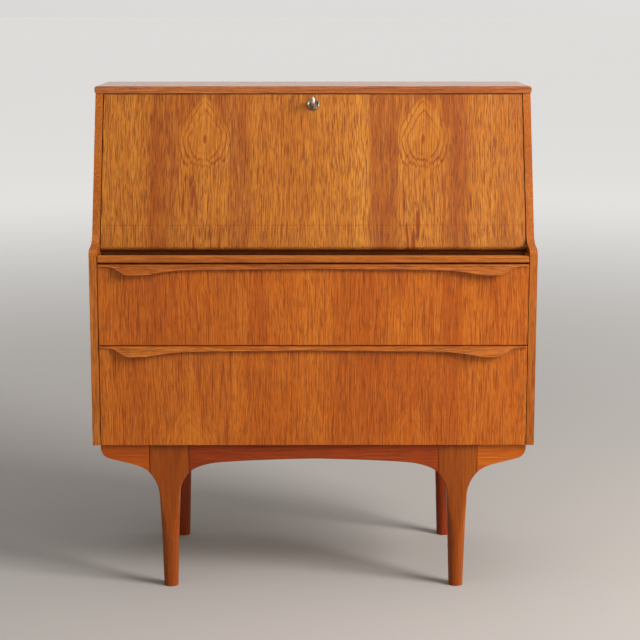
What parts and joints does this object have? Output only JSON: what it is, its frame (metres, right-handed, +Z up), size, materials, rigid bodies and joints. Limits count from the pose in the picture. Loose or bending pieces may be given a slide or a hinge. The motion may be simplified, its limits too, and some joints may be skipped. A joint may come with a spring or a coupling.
{
  "type": "secretary desk",
  "caption": "Teak secretary desk: sloped drop flap with a lock, pull-out support board, full-width drawers with carved lip pulls, on a shaped leg frame.",
  "frame": {"origin": "on the floor, under the middle of the desk's bounding box", "axes": "+Z up, +X to the right as the user faces the desk, the front faces -Y"},
  "size_m": [0.919, 0.425, 1.04],
  "materials": {
    "teak_veneer": "oiled teak veneer, vertical grain, satin",
    "teak_front": "oiled teak veneer, redder, vertical grain, satin",
    "teak_solid": "oiled solid teak, satin",
    "teak_inner": "teak veneer, satin",
    "drawer_lining": "plain beech, matt",
    "plywood": "thin plywood, matt",
    "felt": "thin dark brown felt",
    "brass": "plain brass",
    "polished_steel": "bright nickel-plated steel",
    "plain_steel": "plain steel"
  },
  "bodies": {
    "carcass": {"back_panel": "plywood", "base_front_rail": "teak_solid", "base_rear_rail": "teak_solid", "base_stretcher_left": "teak_solid", "base_stretcher_right": "teak_solid", "bottom_panel": "drawer_lining", "divider_rail": "teak_inner", "divider_runner_left": "drawer_lining", "divider_runner_right": "drawer_lining", "front_leg_left": "teak_solid", "front_leg_right": "teak_solid", "front_wing_left": "teak_solid", "front_wing_right": "teak_solid", "pigeonhole_divider_1": "teak_inner", "pigeonhole_divider_2": "teak_inner", "pigeonhole_divider_3": "teak_inner", "pigeonhole_shelf": "teak_inner", "pivot_bush_left": "brass", "pivot_bush_right": "brass", "rear_leg_left": "teak_solid", "rear_leg_right": "teak_solid", "side_panel_left": "teak_veneer", "side_panel_right": "teak_veneer", "slide_rail": "teak_inner", "slide_runner_left": "drawer_lining", "slide_runner_right": "drawer_lining", "strike_plate": "brass", "top_panel": "teak_veneer", "writing_deck": "teak_inner"},
    "flap": {"flap_panel": "teak_veneer", "flap_pin_left": "plain_steel", "flap_pin_right": "plain_steel", "lock_case": "plain_steel", "lock_escutcheon": "polished_steel"},
    "lock_plug": {"lock_plug": "polished_steel"},
    "key": {"key": "polished_steel"},
    "lock_bolt": {"lock_bolt": "brass"},
    "support_slide": {"support_slide": "teak_inner", "support_slide_lipping": "teak_solid", "support_slide_felt": "felt", "slide_stop_left": "drawer_lining", "slide_stop_right": "drawer_lining"},
    "upper_drawer": {"upper_drawer_back": "drawer_lining", "upper_drawer_bottom": "plywood", "upper_drawer_front": "teak_front", "upper_drawer_handle": "teak_solid", "upper_drawer_side_left": "drawer_lining", "upper_drawer_side_right": "drawer_lining"},
    "lower_drawer": {"lower_drawer_back": "drawer_lining", "lower_drawer_bottom": "plywood", "lower_drawer_front": "teak_front", "lower_drawer_handle": "teak_solid", "lower_drawer_side_left": "drawer_lining", "lower_drawer_side_right": "drawer_lining"}
  },
  "joints": [
    {"name": "flap_hinge", "type": "hinge", "parent": "carcass", "child": "flap", "pos_m": [0, -0.1312, 0.7149], "axis": [1, 0, 0], "range_deg": [0, 111]},
    {"name": "key_turn", "type": "hinge", "parent": "flap", "child": "lock_plug", "pos_m": [0, -0.02903, 1.00199], "axis": [0, 0.9336, -0.3584], "range_deg": [0, 90]},
    {"name": "key_withdraw", "type": "slide", "parent": "lock_plug", "child": "key", "axis": [0, -0.9336, 0.3584], "range_m": [0, 0.03]},
    {"name": "bolt_slide", "type": "slide", "parent": "flap", "child": "lock_bolt", "axis": [0, 0.3584, 0.9336], "range_m": [0, 0.012]},
    {"name": "support_slide", "type": "slide", "parent": "carcass", "child": "support_slide", "axis": [0, -1, 0], "range_m": [0, 0.219]},
    {"name": "upper_drawer_slide", "type": "slide", "parent": "carcass", "child": "upper_drawer", "axis": [0, -1, 0], "range_m": [0, 0.28]},
    {"name": "lower_drawer_slide", "type": "slide", "parent": "carcass", "child": "lower_drawer", "axis": [0, -1, 0], "range_m": [0, 0.28]}
  ],
  "couplings": [
    {"joint": "bolt_slide", "follows": "key_turn", "m_per_rad": 0.007639}
  ]
}
